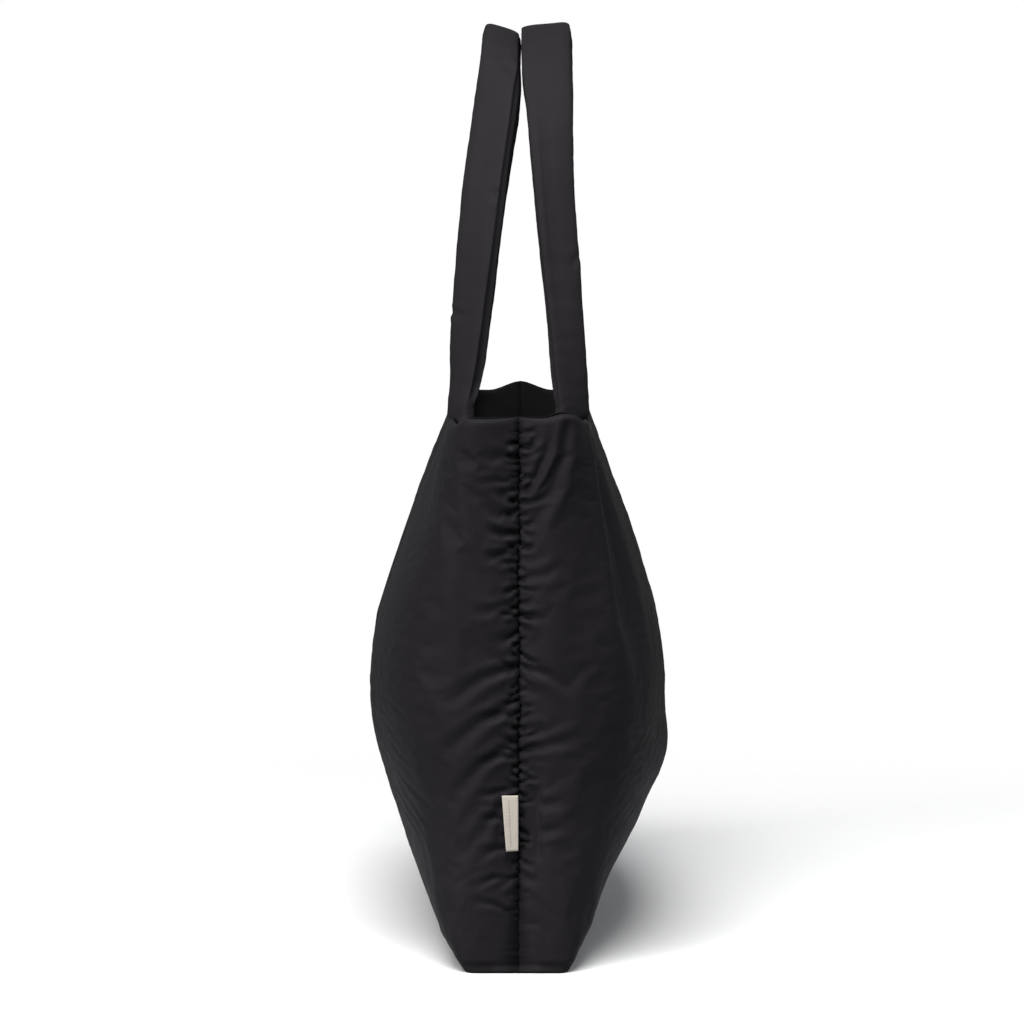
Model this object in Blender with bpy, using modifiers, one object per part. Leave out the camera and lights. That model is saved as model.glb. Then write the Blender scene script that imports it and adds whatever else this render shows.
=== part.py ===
"""A padded shoulder tote that stands on its own base, with two padded handles standing up.

Metres, +Z up. The bag's length runs along X, its depth along Y. "Front" is the +X end, where the woven
label is sewn into the side seam, "right" is the +Y long side and "left" the -Y one. The origin is on the
floor, at the middle of the base.
"""

import math

import bmesh
import bpy
from mathutils import Matrix, Vector

# Driving dimensions of the bag's body.
BODY_HEIGHT = 0.400
BASE_HALF_LENGTH = 0.262
RIM_HALF_LENGTH = 0.284
SECTION_SQUARENESS = 4.6

# Heights, as parts of BODY_HEIGHT, and the half widths that the padded wall passes through, at the ends of
# the bag and at mid-length, where the load pushes the long sides out and down.
END_PROFILE = (
    (0.00, 0.0360),
    (0.06, 0.0525),
    (0.25, 0.0785),
    (0.47, 0.0985),
    (0.62, 0.0950),
    (0.85, 0.0700),
    (1.00, 0.0535),
)
MIDDLE_PROFILE = (
    (0.00, 0.0400),
    (0.06, 0.0610),
    (0.24, 0.0975),
    (0.42, 0.1120),
    (0.60, 0.1060),
    (0.82, 0.0790),
    (1.00, 0.0545),
)

# Layers of the wall, counted inwards from its outer face.
FABRIC = 0.0012
WADDING = 0.0054
LINING = 0.0009
LAYER_GAP = 0.0004
SEAM_GAP = 0.0006
WADDING_INSET = FABRIC + LAYER_GAP
LINING_INSET = WADDING_INSET + WADDING + LAYER_GAP
WALL = LINING_INSET + LINING
HEM_HEIGHT = 0.002
FACING_DEPTH = 0.045
SECTION_STEPS = 22
WALL_HEIGHTS = (0.0, 0.014, 0.05, 0.12, 0.21, 0.31, 0.41, 0.50, 0.59, 0.69, 0.79, 0.90)

# Handles: the middle of each strap's section follows an arch between two points on the rim.
HANDLE_HALF_SPAN = 0.118
HANDLE_FOOT = BODY_HEIGHT + 0.0006
HANDLE_BASE_Y = 0.0420
HANDLE_STEPS = 28
HANDLE_SIDES = 12
HANDLE_FABRIC = 0.0010
HANDLE_HINGE_Y = 0.0565
HANDLE_HINGE_Z = 0.4005
STRAP_HALF_WIDTH_AT_FOOT = 0.0195
# rise: foot to the middle of the strap at the top; lean: how the strap nears the middle of the bag as it
# rises; depth: half of the strap's size along Y at its foot, halfway up and at the top.
HANDLES = {
    "right": {"side": 1, "rise": 0.2830, "apex_y": 0.0196, "lean": 0.75, "apex_half": 0.0110,
              "depth": (0.0125, 0.0150, 0.0180)},
    "left": {"side": -1, "rise": 0.2795, "apex_y": 0.0128, "lean": 1.0, "apex_half": 0.0120,
             "depth": (0.0120, 0.0162, 0.0112)},
}

# Trim.
LABEL_WIDTH = 0.0120
LABEL_HEIGHT = 0.0400
LABEL_MIDDLE_Z = 0.1090
LABEL_LEAF = 0.0005
LABEL_CLEARANCE = 0.0012
ANCHOR_HALF_WIDTH = 0.0180
ANCHOR_LENGTH = 0.055
ANCHOR_THICKNESS = 0.0015
POCKET_HALF_WIDTH = 0.120
POCKET_BOTTOM = 0.150
POCKET_TOP = 0.310
SNAP_RADIUS = 0.0090
SNAP_THICKNESS = 0.0024
SNAP_BOSS = 0.0014
SNAP_DROP = 0.022
TAPE_HALF_WIDTH = 0.0050
TAPE_THICKNESS = 0.0010
BOARD_CLEARANCE = 0.0025
BOARD_THICKNESS = 0.0025
BOARD_STEPS = 16
PATCH_GAP = 0.0009

COLLECTION = "padded_tote"


def clear_scene():
    for thing in list(bpy.data.objects):
        bpy.data.objects.remove(thing, do_unlink=True)


def make_material(name, colour, roughness, metallic=0.0):
    material = bpy.data.materials.new(name)
    material.use_nodes = True
    shader = material.node_tree.nodes["Principled BSDF"]
    shader.inputs["Base Color"].default_value = (*colour, 1.0)
    shader.inputs["Roughness"].default_value = roughness
    shader.inputs["Metallic"].default_value = metallic
    material.diffuse_color = (*colour, 1.0)
    return material


def add_object(name, bm, material, smooth_angle=40.0):
    """Put a bmesh in the collection as a named object. A closed mesh gets its faces turned outwards."""
    if all(edge.is_manifold for edge in bm.edges):
        bmesh.ops.recalc_face_normals(bm, faces=bm.faces)
    mesh = bpy.data.meshes.new(name)
    bm.to_mesh(mesh)
    bm.free()
    mesh.shade_smooth()
    mesh.set_sharp_from_angle(angle=math.radians(smooth_angle))
    mesh.materials.append(material)
    thing = bpy.data.objects.new(name, mesh)
    bpy.data.collections[COLLECTION].objects.link(thing)
    return thing


def move_origin(thing, point):
    """Move an object's origin to a point and leave its mesh where it is."""
    thing.data.transform(Matrix.Translation(-Vector(point)))
    thing.location = point


def smooth_value(points, t):
    """Read a smooth curve through (t, value) points: a Catmull-Rom spline with uneven steps."""
    last = len(points) - 2
    i = max(k for k in range(last + 1) if k == 0 or points[k][0] <= t)

    def slope(k):
        low = points[max(k - 1, 0)]
        high = points[min(k + 1, len(points) - 1)]
        return (high[1] - low[1]) / (high[0] - low[0])

    (t0, v0), (t1, v1) = points[i], points[i + 1]
    step = t1 - t0
    u = (t - t0) / step
    return ((2 * u ** 3 - 3 * u ** 2 + 1) * v0 + (u ** 3 - 2 * u ** 2 + u) * step * slope(i)
            + (3 * u ** 2 - 2 * u ** 3) * v1 + (u ** 3 - u ** 2) * step * slope(i + 1))


def half_width(height):
    """Half of the bag's depth near its ends, at a height given as a part of BODY_HEIGHT."""
    return smooth_value(END_PROFILE, min(max(height, 0.0), 1.0))


def half_length(height):
    """Half of the bag's length: the ends flare out towards the mouth."""
    flare = min(max(height, 0.0), 1.0) ** 2.5
    return BASE_HALF_LENGTH + (RIM_HALF_LENGTH - BASE_HALF_LENGTH) * flare


def bulge(height):
    """How far the long sides bow out at mid-length, over their width near the ends."""
    return smooth_value(MIDDLE_PROFILE, min(max(height, 0.0), 1.0)) - half_width(height)


def inset_row(height, inset):
    """Half length, half width and height in metres of the wall's section, set in along its normal."""
    step = 0.01
    low = max(height - step, 0.0)
    high = min(height + step, 1.0)
    run = (high - low) * BODY_HEIGHT
    rise = half_width(high) + 0.5 * bulge(high) - half_width(low) - 0.5 * bulge(low)
    size = math.hypot(run, rise)
    width = half_width(height) - inset * run / size
    z = height * BODY_HEIGHT + inset * rise / size
    return half_length(height) - inset, width, max(z, inset)


def section_point(side, row, turn, extra, gap=SEAM_GAP):
    """A point on one half of a horizontal section: turn runs from 0 at the front seam to pi at the rear."""
    length, width, z = row
    power = 2.0 / SECTION_SQUARENESS
    c = math.cos(turn)
    x = length * math.copysign(abs(c) ** power, c)
    reach = width + extra * (1.0 - (x / length) ** 2)
    return Vector((x, side * (gap + (reach - gap) * max(math.sin(turn), 0.0) ** power), z))


def even_turns():
    """The turns that space points evenly round half of the section at the belly."""
    fine = 1200
    row = inset_row(0.5, 0.0)
    points = [section_point(1, row, math.pi * k / fine, bulge(0.5)) for k in range(fine + 1)]
    lengths = [0.0]
    for low, high in zip(points[:-1], points[1:]):
        lengths.append(lengths[-1] + (high - low).length)
    turns = [0.0]
    for k in range(1, SECTION_STEPS):
        goal = lengths[-1] * k / SECTION_STEPS
        turns.append(math.pi * next(i for i, run in enumerate(lengths) if run >= goal) / fine)
    return turns + [math.pi]


def flat_row(height, inset):
    """A section on the straight line between the two modelled levels next to a height, and its bulge."""
    levels = WALL_HEIGHTS + (1.0,)
    i = max(k for k in range(len(levels) - 1) if levels[k] <= height)
    part = (height - levels[i]) / (levels[i + 1] - levels[i])
    lower, upper = (inset_row(levels[k], inset) for k in (i, i + 1))
    row = tuple(low + (high - low) * part for low, high in zip(lower, upper))
    return row, bulge(levels[i]) + (bulge(levels[i + 1]) - bulge(levels[i])) * part


def wall_y(x, height, inset):
    """Distance of the long side's wall from the middle plane, at x and at a height, and its z."""
    (length, width, z), extra = flat_row(height, inset)
    reach = width + extra * (1.0 - (x / length) ** 2)
    return reach * (1.0 - abs(x / length) ** SECTION_SQUARENESS) ** (1.0 / SECTION_SQUARENESS), z


def grid_faces(bm, rows):
    """Join rows of vertices by triangles that all split their squares the same way."""
    for lower, upper in zip(rows[:-1], rows[1:]):
        for k in range(len(lower) - 1):
            bm.faces.new((lower[k], lower[k + 1], upper[k + 1]))
            bm.faces.new((lower[k], upper[k + 1], upper[k]))


def add_thickness(thing, thickness):
    """Give an open surface its thickness, inwards."""
    shell = thing.modifiers.new("thickness", "SOLIDIFY")
    shell.thickness = thickness
    shell.offset = -1.0
    shell.use_even_offset = True
    shell.use_quality_normals = True
    return shell


def half_shell(name, side, inset, thickness, top, material, hem=False, bottom=0.0, gap=SEAM_GAP):
    """One half of a layer of the bag: wall and half of the base, open along the seam plane and the rim."""
    bm = bmesh.new()
    heights = [h for h in WALL_HEIGHTS if bottom <= h < top - 0.02] + [top]
    if bottom > 0.0 and heights[0] > bottom:
        heights.insert(0, bottom)
    levels = [(inset_row(h, inset), bulge(h)) for h in heights]
    if hem:
        length, width, z = levels[-1][0]
        for inward, rise in ((0.0016, HEM_HEIGHT), (WALL - 0.0016, HEM_HEIGHT), (WALL, 0.0)):
            levels.append(((length - inward, width - inward, z + rise), bulge(top)))
    rows = []
    for row, extra in levels:
        rows.append([bm.verts.new(section_point(side, row, turn, extra, gap)) for turn in even_turns()])
    grid_faces(bm, rows)
    if bottom == 0.0:
        bm.faces.new(rows[0])
    outward(bm)
    thing = add_object(name, bm, material)
    add_thickness(thing, thickness)
    return thing


def outward(bm):
    """Turn an open half shell so that its faces look away from the middle of the bag."""
    bmesh.ops.recalc_face_normals(bm, faces=bm.faces)
    middle = Vector((0.0, 0.0, 0.5 * BODY_HEIGHT))
    score = sum((f.calc_center_median() - middle).dot(f.normal) * f.calc_area() for f in bm.faces)
    if score < 0.0:
        bmesh.ops.reverse_faces(bm, faces=bm.faces)


def wall_patch(name, side, inset, thickness, x_range, z_range, steps, material):
    """A flat piece of cloth that follows the inside of a long side."""
    bm = bmesh.new()
    rows = []
    across, up = steps
    for j in range(up + 1):
        height = (z_range[0] + (z_range[1] - z_range[0]) * j / up) / BODY_HEIGHT
        row = []
        for k in range(across + 1):
            x = x_range[0] + (x_range[1] - x_range[0]) * k / across
            y, z = wall_y(x, height, inset)
            row.append(bm.verts.new((x, side * y, z)))
        rows.append(row)
    grid_faces(bm, rows)
    outward(bm)
    thing = add_object(name, bm, material)
    add_thickness(thing, thickness)
    return thing


def end_strip(name, end, inset, thickness, half_wide, z_range, steps, material):
    """A narrow tape that lies over the side seam, inside the bag, at one end."""
    bm = bmesh.new()
    rows = []
    for j in range(steps + 1):
        height = (z_range[0] + (z_range[1] - z_range[0]) * j / steps) / BODY_HEIGHT
        (length, _, z), _ = flat_row(height, inset)
        rows.append([bm.verts.new((end * length, y, z)) for y in (-half_wide, half_wide)])
    grid_faces(bm, rows)
    outward(bm)
    thing = add_object(name, bm, material)
    add_thickness(thing, thickness)
    return thing


def quadratic(values, t):
    """A smooth curve through three values at t = 0, 0.5 and 1."""
    start, middle, end = values
    return start * (1 - t) * (1 - 2 * t) + 4 * middle * t * (1 - t) + end * t * (2 * t - 1)


def handle_rings(spec, shrink, trim=0.0):
    """Rings of points round a handle's strap, from the front foot over the top to the rear foot."""
    side = spec["side"]
    turns = [trim + (math.pi - 2 * trim) * k / HANDLE_STEPS for k in range(HANDLE_STEPS + 1)]

    def centre(turn):
        rise = max(math.sin(turn), 0.0)
        y = HANDLE_BASE_Y + (spec["apex_y"] - HANDLE_BASE_Y) * rise ** spec["lean"]
        return Vector((HANDLE_HALF_SPAN * math.cos(turn), side * y, HANDLE_FOOT + spec["rise"] * rise))

    rings = []
    for turn in turns:
        rise = max(math.sin(turn), 0.0)
        along = centre(min(turn + 0.02, math.pi)) - centre(max(turn - 0.02, 0.0))
        along.y = 0.0
        along.normalize()
        across = along.cross(Vector((0.0, 1.0, 0.0)))
        wide = STRAP_HALF_WIDTH_AT_FOOT + (spec["apex_half"] - STRAP_HALF_WIDTH_AT_FOOT) * rise ** 1.5 - shrink
        deep = quadratic(spec["depth"], rise) - shrink
        ring = []
        for k in range(HANDLE_SIDES):
            a = 2 * math.pi * k / HANDLE_SIDES
            c, s = math.cos(a), math.sin(a)
            u = wide * math.copysign(abs(c) ** 0.8, c)
            v = deep * math.copysign(abs(s) ** 0.8, s)
            ring.append(centre(turn) + across * u + Vector((0.0, v, 0.0)))
        rings.append(ring)
    return rings


def ring_loft(rings, capped):
    """A skin over rings of points, with or without its two ends."""
    bm = bmesh.new()
    rows = [[bm.verts.new(p) for p in ring] for ring in rings]
    for row in rows:
        row.append(row[0])
    grid_faces(bm, rows)
    if capped:
        bm.faces.new(rows[0][:-1])
        bm.faces.new(rows[-1][:-1])
    bmesh.ops.recalc_face_normals(bm, faces=bm.faces)
    middle = sum(rings[0], Vector()) / len(rings[0])
    if (rings[0][0] - middle).dot(rows[0][0].link_faces[0].normal) < 0.0:
        bmesh.ops.reverse_faces(bm, faces=bm.faces)
    return bm


def make_handle(word, spec, cover_material, foam_material):
    """A sewn tube of cloth with a foam core, turning about the rim."""
    hinge = (0.0, spec["side"] * HANDLE_HINGE_Y, HANDLE_HINGE_Z)
    cover = add_object(f"handle_cover_{word}", ring_loft(handle_rings(spec, 0.0), False), cover_material)
    add_thickness(cover, HANDLE_FABRIC)
    move_origin(cover, hinge)
    core_rings = handle_rings(spec, HANDLE_FABRIC + LAYER_GAP, trim=0.006)
    core = add_object(f"handle_core_{word}", ring_loft(core_rings, True), foam_material)
    move_origin(core, hinge)


def make_label(material):
    """A short ribbon folded over its outer edge, with both ends caught in the front side seam."""
    bm = bmesh.new()
    outer = LABEL_LEAF * 1.6
    leaf = LABEL_LEAF * 0.6
    fold_steps = 6
    outline = [Vector((outer, 0.0)), Vector((outer, -(LABEL_WIDTH - outer)))]
    for k in range(1, fold_steps):
        a = math.pi * k / fold_steps
        outline.append(Vector((outer * math.cos(a), -(LABEL_WIDTH - outer) - outer * math.sin(a))))
    outline += [Vector((-outer, -(LABEL_WIDTH - outer))), Vector((-outer, 0.0)), Vector((-leaf, 0.0))]
    outline.append(Vector((-leaf, -(LABEL_WIDTH - outer))))
    for k in range(1, fold_steps):
        a = math.pi * k / fold_steps
        outline.append(Vector((-leaf * math.cos(a), -(LABEL_WIDTH - outer) - leaf * math.sin(a))))
    outline += [Vector((leaf, -(LABEL_WIDTH - outer))), Vector((leaf, 0.0))]
    face = bm.faces.new([bm.verts.new((p.x, p.y, -0.5 * LABEL_HEIGHT)) for p in outline])
    grown = bmesh.ops.extrude_face_region(bm, geom=[face])
    top = [g for g in grown["geom"] if isinstance(g, bmesh.types.BMVert)]
    bmesh.ops.translate(bm, verts=top, vec=(0.0, 0.0, LABEL_HEIGHT))
    label = add_object("side_label", bm, material)
    height = LABEL_MIDDLE_Z / BODY_HEIGHT
    label.location = (half_length(height) + LABEL_CLEARANCE + LABEL_LEAF, -SEAM_GAP, LABEL_MIDDLE_Z)
    return label


def make_snap(name, side, boss, material):
    """One half of a round magnetic snap on the rim facing, turned about its own axis."""
    bm = bmesh.new()
    radius = 0.45 * SNAP_RADIUS
    top = SNAP_THICKNESS + boss
    rim_corner = 0.0006
    outline = [(0.0, top), (radius, top), (radius, SNAP_THICKNESS), (SNAP_RADIUS - rim_corner, SNAP_THICKNESS),
               (SNAP_RADIUS, SNAP_THICKNESS - rim_corner), (SNAP_RADIUS, 0.0), (0.0, 0.0)]
    verts = [bm.verts.new((x, 0.0, z)) for x, z in outline]
    for low, high in zip(verts[:-1], verts[1:]):
        bm.edges.new((low, high))
    snap = add_object(name, bm, material)
    turn = snap.modifiers.new("turned", "SCREW")
    turn.axis = "Z"
    turn.steps = 24
    turn.render_steps = 24
    turn.use_merge_vertices = True
    turn.merge_threshold = 0.0001
    z = BODY_HEIGHT - SNAP_DROP
    lower, _ = wall_y(0.0, (z - 0.01) / BODY_HEIGHT, WALL + PATCH_GAP)
    upper, _ = wall_y(0.0, (z + 0.01) / BODY_HEIGHT, WALL + PATCH_GAP)
    middle_y, middle_z = wall_y(0.0, z / BODY_HEIGHT, WALL + PATCH_GAP)
    slope = math.atan2(lower - upper, 0.02)
    snap.location = (0.0, side * middle_y, middle_z)
    snap.rotation_euler = (side * (0.5 * math.pi + slope), 0.0, 0.0)
    return snap


def make_board(material):
    """A stiff board that lies in the bottom of the bag and follows its rounded outline."""
    length, width, _ = inset_row(0.0, WALL + BOARD_CLEARANCE)
    outline = bpy.data.curves.new("base_board", "CURVE")
    outline.dimensions = "2D"
    outline.fill_mode = "BOTH"
    outline.extrude = 0.5 * BOARD_THICKNESS
    spline = outline.splines.new("POLY")
    spline.points.add(2 * BOARD_STEPS - 1)
    spline.use_cyclic_u = True
    for k, point in enumerate(spline.points):
        turn = math.pi * k / BOARD_STEPS
        side = 1 if turn < math.pi else -1
        corner = section_point(side, (length, width, 0.0), turn % math.pi, 0.0, gap=0.0)
        point.co = (side * corner.x, corner.y, 0.0, 1.0)
    outline.materials.append(material)
    board = bpy.data.objects.new("base_board", outline)
    board.location = (0.0, 0.0, WALL + LAYER_GAP + 0.5 * BOARD_THICKNESS)
    bpy.data.collections[COLLECTION].objects.link(board)
    return board


def build():
    clear_scene()
    collection = bpy.data.collections.new(COLLECTION)
    bpy.context.scene.collection.children.link(collection)

    nylon = make_material("black_nylon", (0.022, 0.021, 0.022), 0.55)
    lining_cloth = make_material("lining_cloth", (0.016, 0.016, 0.018), 0.75)
    fibre = make_material("polyester_wadding", (0.80, 0.80, 0.78), 0.95)
    foam = make_material("handle_foam", (0.62, 0.62, 0.60), 0.90)
    webbing = make_material("webbing", (0.030, 0.029, 0.030), 0.80)
    ribbon = make_material("cream_ribbon", (0.76, 0.70, 0.63), 0.85)
    steel = make_material("plated_steel", (0.30, 0.30, 0.31), 0.35, 1.0)
    plastic = make_material("board_plastic", (0.030, 0.030, 0.032), 0.60)

    wadding_top = 0.995
    facing_top = 0.990
    facing_bottom = 1.0 - FACING_DEPTH / BODY_HEIGHT
    for word, side in (("left", -1), ("right", 1)):
        rim = 1.0 - HEM_HEIGHT / BODY_HEIGHT
        half_shell(f"outer_panel_{word}", side, 0.0, FABRIC, rim, nylon, hem=True)
        half_shell(f"wadding_{word}", side, WADDING_INSET, WADDING, wadding_top - 0.005, fibre, gap=0.0009)
        half_shell(f"lining_{word}", side, LINING_INSET, LINING, facing_bottom - 0.002, lining_cloth)
        half_shell(f"rim_facing_{word}", side, LINING_INSET, LINING, facing_top, nylon, bottom=facing_bottom)
        for end, sign in (("front", 1), ("rear", -1)):
            middle = sign * HANDLE_HALF_SPAN
            wall_patch(f"handle_anchor_{word}_{end}", side, WALL + PATCH_GAP, ANCHOR_THICKNESS,
                       (middle - ANCHOR_HALF_WIDTH, middle + ANCHOR_HALF_WIDTH),
                       (BODY_HEIGHT - ANCHOR_LENGTH, BODY_HEIGHT + 0.0002), (2, 5), webbing)
        make_handle(word, HANDLES[word], nylon, foam)
    for end, sign in (("front", 1), ("rear", -1)):
        end_strip(f"seam_tape_{end}", sign, WALL + PATCH_GAP, TAPE_THICKNESS, TAPE_HALF_WIDTH,
                  (0.03, BODY_HEIGHT - FACING_DEPTH), 10, webbing)
    wall_patch("slip_pocket", -1, WALL + PATCH_GAP, LINING, (-POCKET_HALF_WIDTH, POCKET_HALF_WIDTH),
               (POCKET_BOTTOM, POCKET_TOP), (8, 6), lining_cloth)
    make_snap("snap_socket", -1, 0.0, steel)
    make_snap("snap_stud", 1, SNAP_BOSS, steel)
    make_board(plastic)
    make_label(ribbon)


build()
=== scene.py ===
"""Looks of a black padded nylon tote that stands on its base, with its mouth open and its handles up.

Metres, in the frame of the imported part: X along the bag, Y across it, Z up. The front end is at +X.
"""

import math
import random

import bmesh
import bpy
import numpy as np
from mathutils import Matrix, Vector, noise


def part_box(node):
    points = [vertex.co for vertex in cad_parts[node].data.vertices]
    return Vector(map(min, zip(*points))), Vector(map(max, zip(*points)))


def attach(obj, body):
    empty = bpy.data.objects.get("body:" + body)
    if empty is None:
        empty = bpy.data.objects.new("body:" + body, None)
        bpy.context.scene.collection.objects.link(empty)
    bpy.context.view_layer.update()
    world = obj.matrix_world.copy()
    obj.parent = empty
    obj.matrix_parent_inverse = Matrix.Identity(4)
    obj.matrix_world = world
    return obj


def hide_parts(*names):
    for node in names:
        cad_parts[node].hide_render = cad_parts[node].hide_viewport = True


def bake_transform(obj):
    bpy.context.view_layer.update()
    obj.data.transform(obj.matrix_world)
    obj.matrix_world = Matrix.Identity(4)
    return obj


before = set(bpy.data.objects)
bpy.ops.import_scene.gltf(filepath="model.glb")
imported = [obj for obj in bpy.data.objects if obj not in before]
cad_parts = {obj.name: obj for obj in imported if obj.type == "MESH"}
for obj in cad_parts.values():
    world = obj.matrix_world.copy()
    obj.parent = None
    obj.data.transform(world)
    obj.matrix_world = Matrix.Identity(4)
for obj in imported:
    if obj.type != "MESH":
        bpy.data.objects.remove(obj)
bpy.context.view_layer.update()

SIDES = {"left": -1, "right": 1}

# The body's form. Profiles are (part of the height, half width), near the ends and at mid-length.
BODY_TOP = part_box("outer_panel_right")[1]
HEIGHT = BODY_TOP.z
RIM_HALF_LENGTH = BODY_TOP.x
BASE_HALF_LENGTH = RIM_HALF_LENGTH - 0.022
BODY_MIDDLE = (0, 0, 0.5 * HEIGHT)
# How square the horizontal section is: (part of the height, exponent of its superellipse).
SQUARENESS = ((0.0, 18.0), (0.05, 12.0), (0.20, 5.2), (0.50, 4.6), (0.85, 5.0), (1.0, 7.0))
PROFILES = {
    "left": {
        "end": ((0.0, 0.0410), (0.06, 0.0560), (0.25, 0.0775), (0.47, 0.0985), (0.62, 0.0950),
                (0.85, 0.0700), (1.0, 0.0530)),
        "middle": ((0.0, 0.0415), (0.06, 0.0620), (0.24, 0.0945), (0.42, 0.1130), (0.60, 0.1075),
                   (0.82, 0.0800), (1.0, 0.0530)),
    },
    "right": {
        "end": ((0.0, 0.0368), (0.06, 0.0500), (0.13, 0.0598), (0.25, 0.0790), (0.47, 0.0975),
                (0.62, 0.0945), (0.85, 0.0700), (1.0, 0.0530)),
        "middle": ((0.0, 0.0390), (0.06, 0.0545), (0.14, 0.0700), (0.24, 0.0955), (0.42, 0.1108),
                   (0.60, 0.1045), (0.82, 0.0765), (1.0, 0.0520)),
    },
}

# The padded wall and one layer of cloth, and how far the base's seam runs along the base.
WALL = 0.0087
CLOTH = 0.0008
BASE_SEAM_PART = 0.93

# The handles' arch: its height over the foot, and how far it stands from the middle plane as it rises.
HANDLE_HALF_SPAN = 0.118
HANDLE_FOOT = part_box("handle_cover_right")[0].z
HANDLES = {
    "right": {"rise": 0.2830,
              "reach": ((0, 0.0392), (0.07, 0.0370), (0.18, 0.0350), (0.39, 0.0294), (0.60, 0.0243),
                        (0.78, 0.0216), (0.90, 0.0194), (1, 0.0190))},
    "left": {"rise": 0.2795,
             "reach": ((0, 0.0440), (0.07, 0.0400), (0.18, 0.0373), (0.39, 0.0316), (0.60, 0.0252),
                       (0.78, 0.0184), (0.90, 0.0148), (1, 0.0138))},
}


# ---------------------------------------- materials

def new_material(name, colour, roughness):
    material = bpy.data.materials.new(name)
    material.use_nodes = True
    material.diffuse_color = (*colour, 1.0)
    shader = material.node_tree.nodes["Principled BSDF"]
    shader.inputs["Base Color"].default_value = (*colour, 1.0)
    shader.inputs["Roughness"].default_value = roughness
    return material, material.node_tree, shader


def add_node(tree, kind, **values):
    node = tree.nodes.new(kind)
    for key, value in values.items():
        if key in node.inputs:
            node.inputs[key].default_value = value
        else:
            setattr(node, key, value)
    return node


def place(tree):
    """Positions fixed to the cloth: the object's own coordinates, in metres."""
    return add_node(tree, "ShaderNodeTexCoord").outputs["Object"]


def weave_height(tree, where, threads_per_metre):
    """Height of a plain weave: two crossing sets of threads, from the position of each point."""
    split = add_node(tree, "ShaderNodeSeparateXYZ")
    tree.links.new(where, split.inputs[0])
    flat = add_node(tree, "ShaderNodeMath", operation="ADD")
    tree.links.new(split.outputs["X"], flat.inputs[0])
    tree.links.new(split.outputs["Y"], flat.inputs[1])
    waves = []
    for source in (flat.outputs[0], split.outputs["Z"]):
        scaled = add_node(tree, "ShaderNodeMath", operation="MULTIPLY")
        scaled.inputs[1].default_value = threads_per_metre * math.pi
        tree.links.new(source, scaled.inputs[0])
        wave = add_node(tree, "ShaderNodeMath", operation="SINE")
        tree.links.new(scaled.outputs[0], wave.inputs[0])
        waves.append(wave.outputs[0])
    crossed = add_node(tree, "ShaderNodeMath", operation="MULTIPLY")
    tree.links.new(waves[0], crossed.inputs[0])
    tree.links.new(waves[1], crossed.inputs[1])
    return crossed.outputs[0]


def cloth_material(name, colour, roughness, sheen=0.15, threads=2400.0, weave=0.00003,
                   crinkle=0.0004, mottle=0.25, specular=0.5):
    """Woven cloth: weave and fine crinkles as bump, and colour and roughness that vary a little."""
    material, tree, shader = new_material(name, colour, roughness)
    where = place(tree)
    broad = add_node(tree, "ShaderNodeTexNoise", Scale=9.0, Detail=4.0, Roughness=0.55)
    tree.links.new(where, broad.inputs["Vector"])
    fine = add_node(tree, "ShaderNodeTexNoise", Scale=110.0, Detail=5.0, Roughness=0.6)
    tree.links.new(where, fine.inputs["Vector"])
    tone = add_node(tree, "ShaderNodeMapRange")
    tone.inputs["To Min"].default_value = 1.0 - mottle
    tone.inputs["To Max"].default_value = 1.0 + mottle
    tree.links.new(broad.outputs["Fac"], tone.inputs["Value"])
    tint = add_node(tree, "ShaderNodeVectorMath", operation="SCALE")
    tint.inputs[0].default_value = colour
    tree.links.new(tone.outputs[0], tint.inputs["Scale"])
    tree.links.new(tint.outputs[0], shader.inputs["Base Color"])
    rough = add_node(tree, "ShaderNodeMapRange")
    rough.inputs["To Min"].default_value = roughness - 0.08
    rough.inputs["To Max"].default_value = roughness + 0.08
    tree.links.new(fine.outputs["Fac"], rough.inputs["Value"])
    tree.links.new(rough.outputs[0], shader.inputs["Roughness"])
    weave_bump = add_node(tree, "ShaderNodeBump", Distance=weave)
    tree.links.new(weave_height(tree, where, threads), weave_bump.inputs["Height"])
    crinkle_bump = add_node(tree, "ShaderNodeBump", Distance=crinkle)
    tree.links.new(fine.outputs["Fac"], crinkle_bump.inputs["Height"])
    tree.links.new(weave_bump.outputs[0], crinkle_bump.inputs["Normal"])
    tree.links.new(crinkle_bump.outputs[0], shader.inputs["Normal"])
    shader.inputs["Sheen Weight"].default_value = sheen
    shader.inputs["Sheen Roughness"].default_value = 0.45
    shader.inputs["Specular IOR Level"].default_value = specular
    return material


def hard_material(name, colour, roughness, metallic=0.0):
    """Moulded plastic or plated metal with a faint grain."""
    material, tree, shader = new_material(name, colour, roughness)
    shader.inputs["Metallic"].default_value = metallic
    where = place(tree)
    speckle = add_node(tree, "ShaderNodeTexNoise", Scale=900.0, Detail=3.0)
    tree.links.new(where, speckle.inputs["Vector"])
    rough = add_node(tree, "ShaderNodeMapRange")
    rough.inputs["To Min"].default_value = roughness - 0.07
    rough.inputs["To Max"].default_value = roughness + 0.07
    tree.links.new(speckle.outputs["Fac"], rough.inputs["Value"])
    tree.links.new(rough.outputs[0], shader.inputs["Roughness"])
    bump = add_node(tree, "ShaderNodeBump", Distance=0.00004)
    tree.links.new(speckle.outputs["Fac"], bump.inputs["Height"])
    tree.links.new(bump.outputs[0], shader.inputs["Normal"])
    return material


# ---------------------------------------- meshes

def grid_quads(rows, columns, closed=False):
    """Faces of a grid of rows by columns of points, row by row; closed joins the last column to the first."""
    faces = []
    last = columns if closed else columns - 1
    for j in range(rows - 1):
        for k in range(last):
            a = j * columns + k
            b = j * columns + (k + 1) % columns
            faces.append((a, b, b + columns, a + columns))
    return faces


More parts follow.
